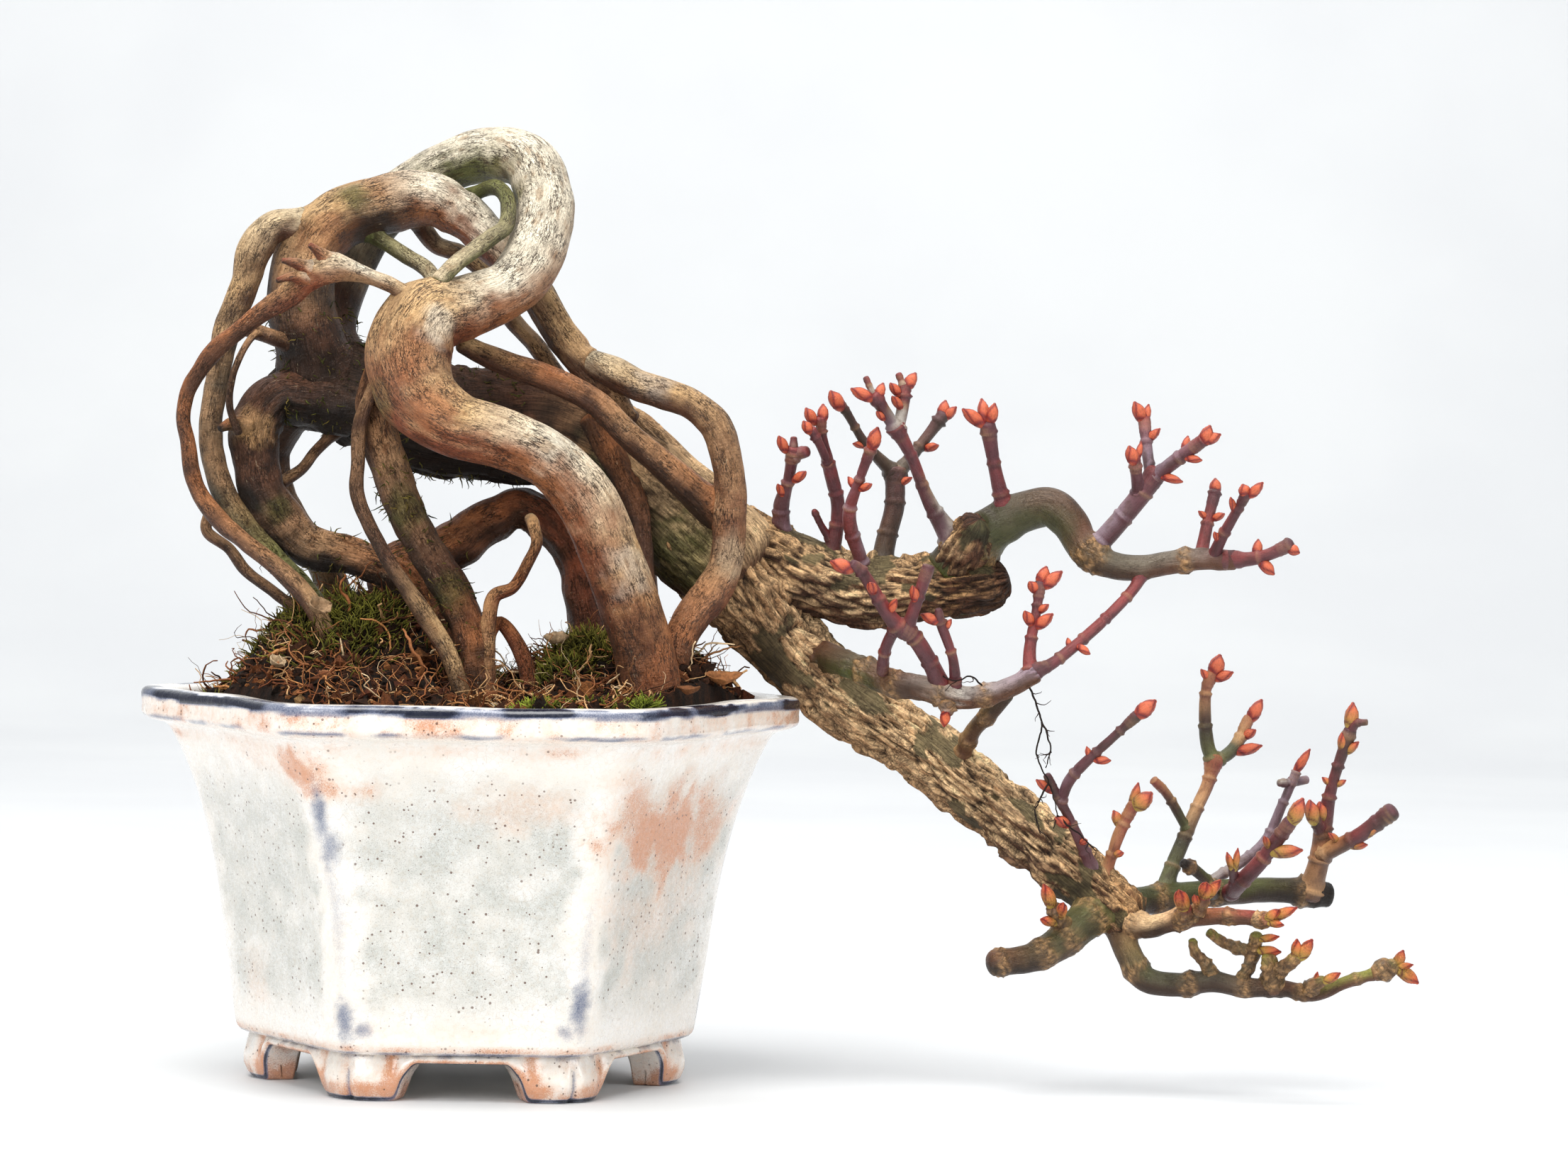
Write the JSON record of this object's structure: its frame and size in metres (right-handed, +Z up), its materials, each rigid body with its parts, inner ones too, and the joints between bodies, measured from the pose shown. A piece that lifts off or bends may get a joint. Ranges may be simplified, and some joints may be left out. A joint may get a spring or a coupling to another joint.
{
  "type": "potted bonsai tree",
  "caption": "Leafless cascading bonsai with looping exposed roots and red buds, in a hexagonal glazed pot.",
  "frame": {"origin": "middle of the whole object's box in plan, on the surface it stands on", "axes": "+X along the longest side, the way the branches cascade; +Y away from the front; +Z up"},
  "size_m": [0.29, 0.136, 0.2172],
  "materials": {
    "glaze": "gloss",
    "soil": "matte",
    "moss": "matte",
    "dry_leaf": "matte",
    "root_bark": "satin",
    "rough_bark": "matte",
    "young_bark": "satin",
    "shoot_bark": "satin",
    "bud_scale": "satin",
    "cut_wood": "matte",
    "drain_plastic": "matte",
    "wire": "satin"
  },
  "bodies": {
    "root": {"arch_root": "root_bark", "arching_branch": "young_bark", "arching_shoot_1": "shoot_bark", "arching_shoot_2": "shoot_bark", "arching_shoot_3": "shoot_bark", "arching_shoot_4": "shoot_bark", "arching_shoot_5": "shoot_bark", "back_arch": "root_bark", "back_root_left": "root_bark", "back_root_right": "root_bark", "back_twig": "root_bark", "brace_branch": "young_bark", "cascade": "rough_bark", "cross_root": "root_bark", "curl_root": "root_bark", "diagonal_root": "root_bark", "drain_mesh": "drain_plastic", "drooping_branch": "young_bark", "fallen_leaf": "dry_leaf", "forked_twig": "root_bark", "front_limb": "young_bark", "great_root": "root_bark", "hanging_shoot": "shoot_bark", "inner_root": "root_bark", "left_root": "root_bark", "loop_curl": "root_bark", "loop_twig": "root_bark", "low_fork_root": "root_bark", "low_shoot_1": "shoot_bark", "low_shoot_2": "shoot_bark", "low_shoot_3": "shoot_bark", "low_shoot_4": "shoot_bark", "low_shoot_5": "shoot_bark", "low_shoot_6": "shoot_bark", "lowest_left_root": "root_bark", "mesh_wire": "wire", "moss_front": "moss", "moss_front_right": "moss", "moss_left": "moss", "moss_right": "moss", "olive_limb": "young_bark", "outer_root": "root_bark", "pot": "glaze", "right_arch": "root_bark", "ring_root": "root_bark", "second_root": "root_bark", "side_branch": "rough_bark", "side_shoot_1": "shoot_bark", "side_shoot_2": "shoot_bark", "side_shoot_3": "shoot_bark", "soil": "soil", "stub_branch": "young_bark", "thin_front_root": "root_bark", "trunk": "rough_bark", "upper_branch": "rough_bark", "upper_shoot_1": "shoot_bark", "upper_shoot_2": "shoot_bark", "upper_shoot_3": "shoot_bark", "upper_shoot_4": "shoot_bark", "upper_shoot_5": "shoot_bark"}
  },
  "joints": []
}
